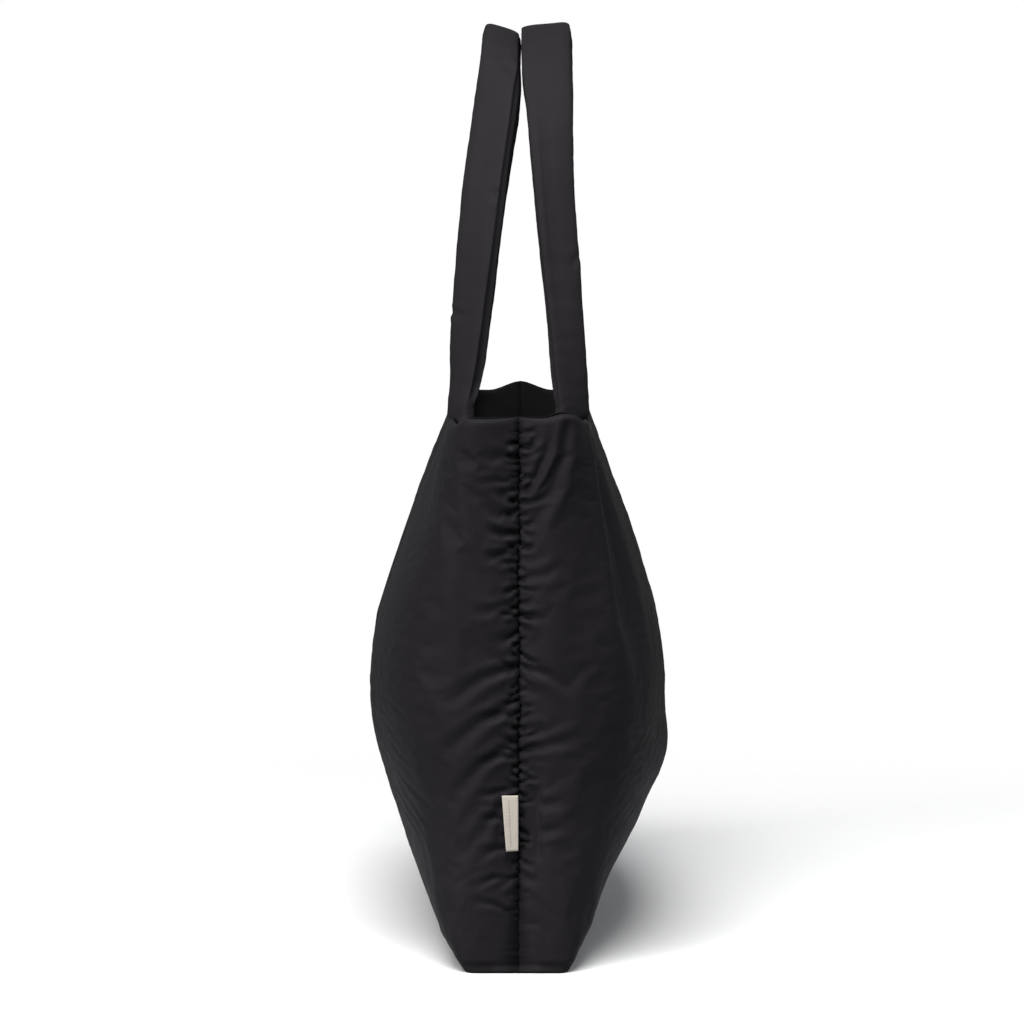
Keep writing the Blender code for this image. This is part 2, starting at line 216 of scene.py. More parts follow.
def make_mesh(name, points, faces, material=None):
    mesh = bpy.data.meshes.new(name)
    mesh.from_pydata([tuple(p) for p in points], [], faces)
    mesh.validate()
    mesh.shade_smooth()
    if material:
        mesh.materials.append(material)
    thing = bpy.data.objects.new(name, mesh)
    bpy.context.scene.collection.objects.link(thing)
    return thing


def turn_outward(thing, centre):
    """Point an open surface's faces away from a centre."""
    bm = bmesh.new()
    bm.from_mesh(thing.data)
    bmesh.ops.recalc_face_normals(bm, faces=bm.faces)
    middle = Vector(centre)
    score = sum((f.calc_center_median() - middle).dot(f.normal) * f.calc_area() for f in bm.faces)
    if score < 0.0:
        bmesh.ops.reverse_faces(bm, faces=bm.faces)
    bm.to_mesh(thing.data)
    bm.free()


def face_out(thing):
    """Point a closed mesh's faces outwards."""
    bm = bmesh.new()
    bm.from_mesh(thing.data)
    bmesh.ops.recalc_face_normals(bm, faces=bm.faces)
    bm.to_mesh(thing.data)
    bm.free()


def apply_modifiers(thing):
    """Replace an object's mesh with its evaluated one and drop the modifiers."""
    graph = bpy.context.evaluated_depsgraph_get()
    mesh = bpy.data.meshes.new_from_object(thing.evaluated_get(graph))
    old = thing.data
    thing.modifiers.clear()
    thing.data = mesh
    bpy.data.meshes.remove(old)
    thing.data.name = thing.name


def thicken(thing, thickness):
    """Give an open sheet its thickness, inwards, and leave it as one closed mesh."""
    shell = thing.modifiers.new("thickness", "SOLIDIFY")
    shell.thickness = thickness
    shell.offset = -1.0
    apply_modifiers(thing)
    thing.data.shade_smooth()


def make_cloth(name, grid, material, thickness=CLOTH):
    """A sheet of cloth through a grid of points, with its thickness on the inner side."""
    thing = make_mesh(name, grid.reshape(-1, 3), grid_quads(*grid.shape[:2]), material)
    turn_outward(thing, BODY_MIDDLE)
    thicken(thing, thickness)
    return thing


def finish_piece(thing, body, slot, *nodes):
    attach(thing, body)
    if nodes:
        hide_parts(*nodes)
    return thing


# ---------------------------------------- the body's form

def smooth_table(points, samples=801):
    """A smooth curve through (t, value) points as a table: a Catmull-Rom spline with uneven steps."""
    t, v = np.array(points).T
    low = np.maximum(np.arange(len(t)) - 1, 0)
    high = np.minimum(np.arange(len(t)) + 1, len(t) - 1)
    slope = (v[high] - v[low]) / (t[high] - t[low])
    at = np.linspace(t[0], t[-1], samples)
    i = np.clip(np.searchsorted(t, at, side="right") - 1, 0, len(t) - 2)
    step = t[i + 1] - t[i]
    u = (at - t[i]) / step
    value = ((2 * u ** 3 - 3 * u ** 2 + 1) * v[i] + (u ** 3 - 2 * u ** 2 + u) * step * slope[i]
             + (3 * u ** 2 - 2 * u ** 3) * v[i + 1] + (u ** 3 - u ** 2) * step * slope[i + 1])
    return at, value


TABLES = {word: {place: smooth_table(points) for place, points in profile.items()}
          for word, profile in PROFILES.items()}

SQUARENESS_TABLE = smooth_table(SQUARENESS)


def half_length(h):
    return BASE_HALF_LENGTH + (RIM_HALF_LENGTH - BASE_HALF_LENGTH) * np.clip(h, 0, 1) ** 2.5


def section(word, turn, h, inset=0.0):
    """Points of one half of the body's horizontal section; turn is 0 at the front seam and pi at the rear."""
    end = np.interp(h, *TABLES[word]["end"])
    bulge = np.interp(h, *TABLES[word]["middle"]) - end
    length = half_length(h) - inset
    power = 2.0 / np.interp(h, *SQUARENESS_TABLE)
    c = np.cos(turn)
    x = length * np.sign(c) * np.abs(c) ** power
    reach = end - inset + bulge * (1 - (x / length) ** 2)
    y = SIDES[word] * reach * np.maximum(np.sin(turn), 0.0) ** power
    return np.stack(np.broadcast_arrays(x, y, h * HEIGHT), axis=-1)


def inner_y(word, x, z):
    """Distance of a long side's inner face from the middle plane."""
    h = np.asarray(z) / HEIGHT
    end = np.interp(h, *TABLES[word]["end"])
    bulge = np.interp(h, *TABLES[word]["middle"]) - end
    part = np.abs(x) / half_length(h)
    square = np.interp(h, *SQUARENESS_TABLE)
    return (end - WALL + bulge * (1 - part ** 2)) * (1 - part ** square) ** (1 / square)


def turn_table():
    """Turn against the part of the way round half of the section at the belly."""
    turn = np.linspace(0, math.pi, 4001)
    points = section("right", turn, 0.5)
    run = np.concatenate(([0], np.cumsum(np.linalg.norm(np.diff(points, axis=0), axis=1))))
    return run / run[-1], turn


TURNS = turn_table()


def wall(word, p, h, inset=0.0):
    """Points of the wall, as rows by height: p runs from the front seam, 0, to the rear seam, 1."""
    return section(word, np.interp(p, *TURNS)[None, :], np.asarray(h, float)[:, None], inset)


def outward_normals(grid):
    """Normals of a grid of wall points, away from the bag."""
    along = np.gradient(grid, axis=1)
    up = np.gradient(grid, axis=0)
    normal = np.cross(along, up)
    normal /= np.maximum(np.linalg.norm(normal, axis=-1, keepdims=True), 1e-12)
    outward = np.sign(np.sum(normal * grid * (1, 1, 0), axis=-1, keepdims=True))
    return normal * np.where(outward == 0, 1, outward)


def seam_distances(grid):
    """Distance of each point from the front seam and from the rear seam, along its row."""
    steps = np.linalg.norm(np.diff(grid, axis=1), axis=2)
    run = np.concatenate((np.zeros((len(grid), 1)), np.cumsum(steps, axis=1)), axis=1)
    return run, run[:, -1:] - run


def smooth_step(t):
    t = np.clip(t, 0, 1)
    return t * t * (3 - 2 * t)


def value_noise(grid, scale, seed, detail=2):
    """Smooth noise at every point of a grid, about -1 to 1."""
    shift = Vector((seed * 7.31, seed * 3.17, seed * 5.71))
    flat = [noise.fractal(Vector(p) * scale + shift, 1.0, 2.0, detail) for p in grid.reshape(-1, 3)]
    return np.array(flat).reshape(grid.shape[:-1])


# ---------------------------------------- folds

def fold(s, z, points, depth, width):
    """A groove with soft lips along a line of (s, z) points, fading out towards its far end."""
    points = np.array(points, float)
    lengths = np.linalg.norm(np.diff(points, axis=0), axis=1)
    total = lengths.sum()
    best = np.full(s.shape, 1e9)
    where = np.zeros(s.shape)
    done = 0.0
    for (a, b), length in zip(zip(points[:-1], points[1:]), lengths):
        along = np.clip(((s - a[0]) * (b[0] - a[0]) + (z - a[1]) * (b[1] - a[1])) / length ** 2, 0, 1)
        away = np.hypot(s - a[0] - along * (b[0] - a[0]), z - a[1] - along * (b[1] - a[1]))
        nearer = away < best
        best = np.where(nearer, away, best)
        where = np.where(nearer, (done + along * length) / total, where)
        done += length
    spread = width * (0.7 + 0.7 * where)
    strength = depth * smooth_step((1 - where) / 0.55) * smooth_step((where + 0.12) / 0.2)
    across = best / spread
    return strength * (-np.exp(-across ** 2) + 0.5 * np.exp(-((across - 1.9) / 0.9) ** 2))


DRAG_REACH = (0.014, 0.038)
DRAG_DEPTH = (0.0009, 0.0026)
DRAG_WIDTH = (0.0020, 0.0040)
DRAG_GAP = (0.015, 0.034)


def drag_folds(s, z, seed, top, bottom):
    """Soft folds that run out from a gathered seam."""
    dice = random.Random(f"{seed} drags")
    relief = np.zeros(s.shape)
    at = bottom + 0.03
    while at < top:
        reach = dice.uniform(*DRAG_REACH)
        rise = reach * dice.uniform(-0.75, 0.3)
        bend = reach * dice.uniform(-0.12, 0.12)
        relief += fold(s, z, ((0.001, at), (0.5 * reach, at + 0.45 * rise + bend), (reach, at + rise)),
                       dice.uniform(*DRAG_DEPTH), dice.uniform(*DRAG_WIDTH))
        at += dice.uniform(*DRAG_GAP)
    return relief


PINCH_REACHES = (0.006, 0.009, 0.012, 0.015)
PINCH_DEPTH = (0.0020, 0.0044)
PINCH_WIDTH = (0.0012, 0.0021)
PINCH_GAP = (0.0050, 0.0115)


def seam_pinches(s, z, seed, top, bottom):
    """Short sharp puckers all the way up a gathered seam."""
    dice = random.Random(f"{seed} pinches")
    relief = np.zeros(s.shape)
    at = bottom
    while at < top:
        calm = 0.40 + 0.60 * smooth_step((at - 0.045) / 0.05)
        reach = dice.choice(PINCH_REACHES) * dice.uniform(0.8, 1.3)
        rise = reach * dice.uniform(-0.75, 0.45)
        relief += fold(s, z, ((0.0, at), (reach, at + rise)), dice.uniform(*PINCH_DEPTH) * calm,
                       dice.uniform(*PINCH_WIDTH))
        at += dice.uniform(*PINCH_GAP)
    return relief


# Larger folds of the front end: points are (distance from the seam, height), then depth and width.
FRONT_FOLDS = {
    "right": (
        (((0.005, 0.347), (0.0135, 0.361), (0.020, 0.376), (0.027, 0.395)), 0.0022, 0.0030),
        (((0.001, 0.378), (0.009, 0.381), (0.016, 0.390)), 0.0020, 0.0022),
        (((0.000, 0.371), (0.010, 0.374), (0.018, 0.380)), 0.0014, 0.0018),
        (((0.000, 0.338), (0.012, 0.341), (0.024, 0.347)), 0.0018, 0.0022),
        (((0.000, 0.322), (0.014, 0.326)), 0.0020, 0.0022),
        (((0.034, 0.392), (0.031, 0.372), (0.024, 0.350), (0.013, 0.328), (0.004, 0.314)), 0.0026, 0.0044),
        (((0.002, 0.160), (0.022, 0.166), (0.052, 0.172)), 0.0018, 0.0036),
        (((0.002, 0.128), (0.018, 0.122), (0.040, 0.126)), 0.0016, 0.0032),
        (((0.002, 0.096), (0.024, 0.104), (0.044, 0.112)), 0.0014, 0.0034),
        (((0.002, 0.222), (0.020, 0.216), (0.036, 0.206)), 0.0016, 0.0030),
    ),
    "left": (
        (((0.000, 0.317), (0.012, 0.318), (0.025, 0.321)), 0.0034, 0.0024),
        (((0.000, 0.302), (0.014, 0.303), (0.028, 0.300)), 0.0030, 0.0026),
        (((0.000, 0.339), (0.010, 0.344), (0.016, 0.351)), 0.0022, 0.0024),
        (((0.000, 0.361), (0.012, 0.364)), 0.0016, 0.0020),
        (((0.000, 0.382), (0.012, 0.380)), 0.0018, 0.0020),
        (((0.002, 0.268), (0.022, 0.262), (0.040, 0.262)), 0.0016, 0.0032),
        (((0.002, 0.222), (0.026, 0.214), (0.058, 0.192)), 0.0022, 0.0040),
        (((0.004, 0.196), (0.030, 0.180), (0.064, 0.150)), 0.0022, 0.0044),
        (((0.004, 0.168), (0.026, 0.152), (0.054, 0.120)), 0.0018, 0.0040),
        (((0.004, 0.128), (0.020, 0.112), (0.040, 0.084)), 0.0014, 0.0036),
    ),
}

# Broad swellings and hollows of the long sides: (x, z, reach along x, reach along z, height).
SWELLS = {
    "right": (
        (0.258, 0.318, 0.0105, 0.080, 0.0068), (0.229, 0.312, 0.018, 0.080, -0.0150),
        (0.130, 0.320, 0.045, 0.060, 0.0025), (0.020, 0.136, 0.160, 0.022, 0.0066),
        (0.242, 0.215, 0.020, 0.060, 0.0022), (-0.060, 0.300, 0.070, 0.050, -0.0030),
        (-0.190, 0.330, 0.040, 0.060, -0.0040), (-0.150, 0.140, 0.070, 0.050, 0.0020),
        (0.070, 0.070, 0.080, 0.030, -0.0022), (-0.235, 0.230, 0.025, 0.070, 0.0025),
    ),
    "left": (
        (0.215, 0.340, 0.030, 0.050, -0.0020), (0.060, 0.300, 0.080, 0.050, -0.0028),
        (-0.080, 0.200, 0.100, 0.040, 0.0024), (0.140, 0.180, 0.060, 0.050, 0.0016),
        (-0.180, 0.310, 0.040, 0.060, -0.0042), (-0.110, 0.080, 0.080, 0.030, -0.0024),
        (-0.240, 0.260, 0.022, 0.060, 0.0028),
    ),
}


def rim_sag(grid, side):
    """How far the rim stands above or below its plain height: down at the corners, up by the handles."""
    x, y = grid[..., 0], np.abs(grid[..., 1])
    end_part = smooth_step((np.abs(x) - 0.235) / 0.035)
    if side < 0:
        front = -0.0072 * smooth_step((y - 0.036) / 0.016)
    else:
        front = 0.0036 * np.exp(-((y - 0.033) / 0.010) ** 2) - 0.0056 * smooth_step((y - 0.040) / 0.012)
    rear = -0.0070 * smooth_step(y / 0.030) + 0.001
    ends = np.where(x > 0, front, rear) * end_part
    between = -0.0070 * np.exp(-(x / 0.060) ** 2) - 0.0125 * np.exp(-((np.abs(x) - 0.155) / 0.075) ** 4)
    return ends + between * (1 - end_part)


def sag_share(h):
    """Share of the rim's sag that reaches down to a part of the height."""
    return smooth_step((h - 0.72) / 0.28) ** 1.5


# ---------------------------------------- outer cloth

ROWS_UP = 225
COLUMNS = 170
BASE_ROWS = 9
# The rolled edge of the rim: its rows of points, its height and its thickness.
ROLL_ROWS = 9
ROLL_RISE = 0.0042
RIM_WALL = 0.0058
# The valley of a gathered seam, the swelling beside it, and the deepest that any fold may reach.
GATHER_DEPTH = 0.0058
GATHER_REACH = 0.0085
SWELLING = 0.0024
SWELLING_AT = 0.028
SWELLING_REACH = 0.017
DEEPEST = 0.0072
# The drag folds start above the base's edge. The right front has them only up to its long folds.
DRAGS_FOOT = 0.012
RIGHT_FRONT_DRAGS_TOP = 0.300
RIM_MARGIN = 0.010
# The pressed edge just over the base.
TUCK_DEPTH = 0.0034
TUCK_HEIGHT = 0.0050


def column_spread():
    """Columns of points along the half section: close together by the two seams."""
    t = np.linspace(0, 1, COLUMNS)
    return t - 0.62 * np.sin(2 * math.pi * t) / (2 * math.pi)


def wall_relief(word, side, grid, front, rear):
    """How far the padded wall stands out from its plain form, before the cloth is relaxed."""
    z = grid[..., 2]
    x = grid[..., 0]
    near = np.minimum(front, rear)
    wander = 0.35 * value_noise(grid[:, :1] * (0, 0, 1), 22.0, 3.0)
    relief = -GATHER_DEPTH * np.exp(-near / (GATHER_REACH * (1 + wander)))
    relief += SWELLING * np.exp(-((near - SWELLING_AT) / SWELLING_REACH) ** 2)
    front_top = HEIGHT - RIM_MARGIN if side < 0 else RIGHT_FRONT_DRAGS_TOP
    relief += drag_folds(front, z, f"{word} front", front_top, DRAGS_FOOT)
    relief += drag_folds(rear, z, f"{word} rear", HEIGHT - RIM_MARGIN, DRAGS_FOOT)
    for points, depth, width in FRONT_FOLDS[word]:
        relief += fold(front, z, points, depth, width)
    side_part = smooth_step((near - 0.045) / 0.045)
    for at_x, at_z, reach_x, reach_z, height in SWELLS[word]:
        relief += side_part * height * np.exp(-((x - at_x) / reach_x) ** 2 - ((z - at_z) / reach_z) ** 2)
    tuck = np.exp(-((z - TUCK_HEIGHT) / 0.0020) ** 2) * smooth_step((0.044 - near) / 0.010)
    relief -= TUCK_DEPTH * tuck
    return relief * smooth_step(z / 0.010)


def soft_limit(values, low, high):
    """Values held between two limits, with a smooth approach to both."""
    middle, half = 0.5 * (low + high), 0.5 * (high - low)
    return middle + half * np.tanh((values - middle) / half)


def plain_wall(word):
    """The wall of one outer panel, from the base to the start of the rim's roll, before it is relaxed."""
    side = SIDES[word]
    grid = wall(word, column_spread(), np.linspace(0, 1 - ROLL_RISE / HEIGHT, ROWS_UP))
    normals = outward_normals(grid)
    front, rear = seam_distances(grid)
    relief = np.maximum(wall_relief(word, side, grid, front, rear), -DEEPEST)
    lifted = grid + normals * relief[..., None]
    lifted[..., 2] += rim_sag(grid, side) * sag_share(grid[..., 2] / HEIGHT)
    return on_own_side(lifted, side), normals


def on_own_side(grid, side):
    """Keep a half's points on its side of the seam plane, with its two edges in that plane."""
    grid[..., 1] = side * np.maximum(grid[..., 1] * side, 0.0)
    grid[:, (0, -1), 1] = 0.0
    return grid


RELAX_STEPS = 24
# How firmly the padding holds the cloth: by the seams, how much more far from them, and its unevenness.
HOLD = (0.04, 0.14, 0.05)
# How much too large the cloth is cut, away from the gathered seams and beside them.
SPARE = (-0.008, -0.090)
BEND = 1.0
# The farthest that the cloth may move inwards, outwards and sideways.
MOVE_IN = -0.0045
MOVE_OUT = 0.0085
MOVE_ALONG = 0.004


def relax_cloth(grid, normals, side):
    """Let the cloth, cut a little too large for its place, buckle between the seams that hold it."""
    rows, columns = grid.shape[:2]
    front, rear = seam_distances(grid)
    near = np.minimum(front, rear)
    z = grid[..., 2]
    held = HOLD[0] + HOLD[1] * smooth_step((near - 0.03) / 0.10) + HOLD[2] * value_noise(grid, 9.0, 11.0)
    held = np.maximum(held, 0.9 * smooth_step((z - HEIGHT + 0.030) / 0.026))
    held = np.maximum(held, smooth_step((0.012 - z) / 0.009))
    held = np.clip(held, 0.01, 1.0)
    held[(0, -1), :] = 1.0
    held[:, (0, -1)] = 1.0
    thing = make_mesh("relaxing", grid.reshape(-1, 3), grid_quads(rows, columns))
    for name, weights in (("held", held), ("gathered", np.exp(-near / 0.035))):
        group = thing.vertex_groups.new(name=name)
        for index, weight in enumerate(weights.ravel()):
            group.add([index], float(weight), "REPLACE")
    cloth = thing.modifiers.new("cloth", "CLOTH")
    settings = cloth.settings
    settings.quality = 5
    settings.mass = 0.2
    settings.tension_stiffness = 20
    settings.compression_stiffness = 20
    settings.shear_stiffness = 6
    settings.bending_stiffness = BEND
    settings.vertex_group_mass = "held"
    settings.pin_stiffness = 1.0
    settings.vertex_group_shrink = "gathered"
    settings.shrink_min = SPARE[0]
    settings.shrink_max = SPARE[1]
    settings.effector_weights.gravity = 0.0
    settings.air_damping = 2.0
    cloth.collision_settings.use_collision = False
    cloth.collision_settings.use_self_collision = False
    for step in range(1, RELAX_STEPS + 1):
        bpy.context.scene.frame_set(step)
    graph = bpy.context.evaluated_depsgraph_get()
    moved = np.array([v.co for v in thing.evaluated_get(graph).data.vertices]).reshape(grid.shape)
    bpy.context.scene.frame_set(1)
    mesh = thing.data
    bpy.data.objects.remove(thing)
    bpy.data.meshes.remove(mesh)
    shift = moved - grid
    out = np.sum(shift * normals, axis=-1, keepdims=True)
    along = np.clip(shift - out * normals, -MOVE_ALONG, MOVE_ALONG)
    calm = 0.30 + 0.70 * smooth_step((z - 0.012) / 0.075)
    return on_own_side(grid + along + soft_limit(out, MOVE_IN, MOVE_OUT) * calm[..., None] * normals, side)


PINCH_LIMIT = 0.0034


def pinch_relief(word, grid):
    """The short puckers by the seams, which the cloth's own bending would smooth away."""
    front, rear = seam_distances(grid)
    z = grid[..., 2]
    relief = seam_pinches(front, z, f"{word} front", HEIGHT - 0.003, 0.010)
    relief += seam_pinches(rear, z, f"{word} rear", HEIGHT - 0.003, 0.010)
    return soft_limit(relief, -PINCH_LIMIT, PINCH_LIMIT) * smooth_step(z / 0.008)


WANDER = 0.0013


def seam_wander(grid):
    """Sideways wander of the gathered seams, the same for both halves."""
    front, rear = seam_distances(grid)
    z = grid[..., 2]
    line = grid[:, :1] * (0, 0, 1)
    calm = smooth_step((z - 0.05) / 0.05) * smooth_step((HEIGHT - 0.004 - z) / 0.03)
    at_front = value_noise(line + (0.3, 0, 0), 60.0, 2.0) * WANDER
    at_rear = value_noise(line - (0.3, 0, 0), 60.0, 2.0) * WANDER
    return calm * (at_front * np.exp(-front / 0.010) + at_rear * np.exp(-rear / 0.010))


def press_under_label(grid):
    """Keep the cloth on both sides of the seam behind the label, which can lie on either."""
    low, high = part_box("side_label")
    x, y, z = grid[..., 0], np.abs(grid[..., 1]), grid[..., 2]
    inside = (smooth_step((0.0185 - y) / 0.006) * smooth_step((z - low.z + 0.010) / 0.008)
              * smooth_step((high.z + 0.010 - z) / 0.008) * (x > 0))
    depth = np.where(grid[..., 1] < 0, 0.0012, 0.0034)
    grid[..., 0] = x - inside * np.maximum(x - (low.x - depth), 0.0)
    return grid


def make_outer(word, material):
    side = SIDES[word]
    p = column_spread()
    lifted, normals = plain_wall(word)
    lifted = relax_cloth(lifted, normals, side)
    lifted += normals * pinch_relief(word, lifted)[..., None]
    lifted = on_own_side(press_under_label(lifted), side)
    lifted[..., 1] += seam_wander(lifted)
    base = []
    middle = np.stack((BASE_SEAM_PART * BASE_HALF_LENGTH * (1 - 2 * p), 0 * p, 0 * p), axis=1)
    for k in np.linspace(1, 0, BASE_ROWS, endpoint=False):
        row = lifted[0] + (middle - lifted[0]) * k
        row[:, 2] = 0.0
        base.append(row)
    top = lifted[-1]
    inner = wall(word, p, [1 - ROLL_RISE / HEIGHT], RIM_WALL)[0]
    inner[:, 2] = top[:, 2]
    inner[(0, -1), 1] = 0.0
    roll = []
    for k in range(1, ROLL_ROWS + 1):
        a = math.pi * k / ROLL_ROWS
        row = top + (inner - top) * (0.5 - 0.5 * math.cos(a))
        row[:, 2] += ROLL_RISE * math.sin(a) ** 0.8
        roll.append(row)
    roll = np.array(roll)
    grid = np.concatenate((np.array(base), lifted, roll))
    thing = make_cloth(f"cloth_{word}", grid, material)
    finish_piece(thing, "bag", "black_nylon", f"outer_panel_{word}", f"wadding_{word}")
    return roll


# ---------------------------------------- lining and facing

FACING_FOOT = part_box("rim_facing_right")[0].z / HEIGHT
POCKET_GAPE = 0.004
POCKET_ROWS = 34
POCKET_COLUMNS = 70
HEM = 0.012


def make_lining(word, material):
    side = SIDES[word]
    p = np.linspace(0, 1, 110)
    levels = np.linspace(0.022, FACING_FOOT, 56)
    walls = wall(word, p, levels, WALL)
    near = np.minimum(*seam_distances(walls))
    sag = np.abs(value_noise(walls, 15.0, 21.0)) * 0.0026 + np.abs(value_noise(walls, 42.0, 5.0)) * 0.0008
    walls[..., 1] -= side * (0.0006 + sag * smooth_step(near / 0.03))
    walls[..., 1] = side * np.maximum(walls[..., 1] * side, 0.0)
    floor = []
    for k in np.linspace(1, 0, 8, endpoint=False):
        row = walls[0] * (1 - 0.07 * k, 1 - k, 1)
        row[:, 2] = WALL
        floor.append(row)
    grid = np.concatenate((np.array(floor), walls))
    thing = make_cloth(f"inner_lining_{word}", grid, material)
    return finish_piece(thing, "bag", "lining_cloth", f"lining_{word}")


def make_pocket(material, thread):
    """An open pocket on the left half of the lining, hemmed at its top."""
    low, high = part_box("slip_pocket")
    side = SIDES["left"]
    x = np.linspace(low.x, high.x, POCKET_COLUMNS)
    turned = (high.z + 0.0010, high.z + 0.0002, high.z + 0.001 - HEM)
    z = np.concatenate((np.linspace(low.z, high.z, POCKET_ROWS), turned))
    inward = np.concatenate((np.zeros(POCKET_ROWS), (0.0009, 0.0018, 0.0020)))
    rows = []
    for level, back in zip(z, inward):
        across = (x - low.x) / (high.x - low.x)
        up = (min(level, high.z) - low.z) / (high.z - low.z)
        gape = POCKET_GAPE * (np.sin(math.pi * across) ** 0.7) * up ** 1.6
        y = inner_y("left", x, level) - 0.0048 - gape + back
        rows.append(np.stack((x, side * y, 0 * x + level), axis=1))
    grid = np.array(rows)
    grid[..., 1] -= side * value_noise(grid, 30.0, 9.0) * 0.0008
    thing = make_cloth("pocket", grid, material)
    finish_piece(thing, "bag", "lining_cloth", "slip_pocket")
    face = grid[:POCKET_ROWS]
    path = np.concatenate((face[:0:-1, 1], face[1, 1:-1], face[1:, -2]))
    path[:, 1] -= side * (0.5 * CLOTH + 0.0004)
    sewing = stitches("pocket_stitches", path, 0.0028, 0.00024, thread)
    finish_piece(sewing, "bag", "lining_cloth")
    hem = grid[POCKET_ROWS - 3].copy()
    hem[:, 1] -= side * (0.5 * CLOTH + 0.0004)
    hemming = stitches("hem_stitches", hem, 0.0028, 0.00024, thread)
    return finish_piece(hemming, "bag", "lining_cloth")


def facing_inset(h):
    """Thickness of wall in front of the facing: the full wall, pressed thin at the rim."""
    return WALL + (RIM_WALL - WALL) * smooth_step((h - 0.90) / 0.085)


def make_facing(word, roll, material, thread):
    """The band inside the rim. Its upper rows lie over the inner half of the rim's roll."""
    side = SIDES[word]
    p = column_spread()
    levels = np.linspace(FACING_FOOT - 0.004, 1 - ROLL_RISE / HEIGHT, 18)
    rows = []
    for h in levels[:-1]:
        row = wall(word, p, [h], facing_inset(h) + CLOTH)
        row[..., 2] += rim_sag(wall(word, p, [h]), side) * sag_share(h)
        rows.append(row[0])
    over = roll[:ROLL_ROWS // 2:-1].copy()
    over[..., 2] += CLOTH
    over[..., 1] -= side * CLOTH * np.minimum(np.abs(over[..., 1]) / 0.01, 1.0)
    over[..., 0] *= 1 - CLOTH / RIM_HALF_LENGTH
    grid = np.concatenate((np.array(rows), over))
    grid[..., 1] = side * np.maximum(grid[..., 1] * side, 0.0)
    thing = make_cloth(f"facing_{word}", grid, material)
    finish_piece(thing, "bag", "black_nylon", f"rim_facing_{word}")
    line = wall(word, np.linspace(0.004, 0.996, 300), [FACING_FOOT + 0.006], WALL + 2 * CLOTH + 0.0002)[0]
    row = stitches(f"facing_stitches_{word}", line, 0.0030, 0.00026, thread)
    return finish_piece(row, "bag", "black_nylon")


# ---------------------------------------- handles

HANDLE_RINGS = 210
TAIL_RINGS = 22
HANDLE_SIDES = 48
TAIL_LENGTH = 0.044
# The thin edge that faces the other strap is folded in, and the rear half of both arches leans to the right.
GROOVE = {"left": 0.0068, "right": 0.0040}
SWAY = 0.0019
# The flattened tail that is sewn on: half of its wide and thin sizes.
TAIL_WIDE = 0.0170
TAIL_THIN = 0.0018

# Half of the strap's wide and thin sizes and its roll in degrees, from the foot, 0, to the top, 1. At roll 0
# the strap's wide face looks along the bag, and at 90 it lies along the long side.
STRAP_FORM = {
    "right": ((0.00, 0.0142, 0.0055, 42), (0.07, 0.0144, 0.0056, 28), (0.18, 0.0143, 0.0056, 19),
              (0.39, 0.0152, 0.0056, 13), (0.60, 0.0164, 0.0056, 9), (0.78, 0.0184, 0.0056, 3),
              (0.86, 0.0196, 0.0056, 0), (1.00, 0.0196, 0.0058, -6)),
    "left": ((0.00, 0.0155, 0.0055, 62), (0.07, 0.0157, 0.0058, 50), (0.18, 0.0163, 0.0062, 40),
             (0.30, 0.0167, 0.0066, 34), (0.45, 0.0175, 0.0068, 29), (0.70, 0.0177, 0.0068, 24),
             (0.84, 0.0174, 0.0066, 20), (0.91, 0.0158, 0.0062, 2), (1.00, 0.0144, 0.0062, -19)),
}

# Creases of the straps: points are (distance from the top towards the front foot, part of the half width).
STRAP_FOLDS = {
    "right": (
        (((0.105, 0.28), (0.200, 0.32), (0.300, 0.24)), 0.0010, 0.0030),
        (((0.215, -0.95), (0.228, -0.30)), 0.0012, 0.0025),
        (((0.018, 0.9), (0.030, -0.2)), 0.0008, 0.0030),
    ),
    "left": (
        (((0.047, -0.10), (0.078, 0.95)), 0.0022, 0.0026),
        (((0.172, 1.00), (0.168, 0.40)), 0.0026, 0.0026),
        (((0.255, -1.0), (0.262, 0.1)), 0.0014, 0.0030),
        (((0.120, -0.2), (0.225, 0.0)), 0.0008, 0.0036),
    ),
}


def strap_form(word, rise):
    steps = np.array(STRAP_FORM[word])
    return [np.interp(rise, *smooth_table(np.stack((steps[:, 0], steps[:, k]), axis=1))) for k in (1, 2, 3)]


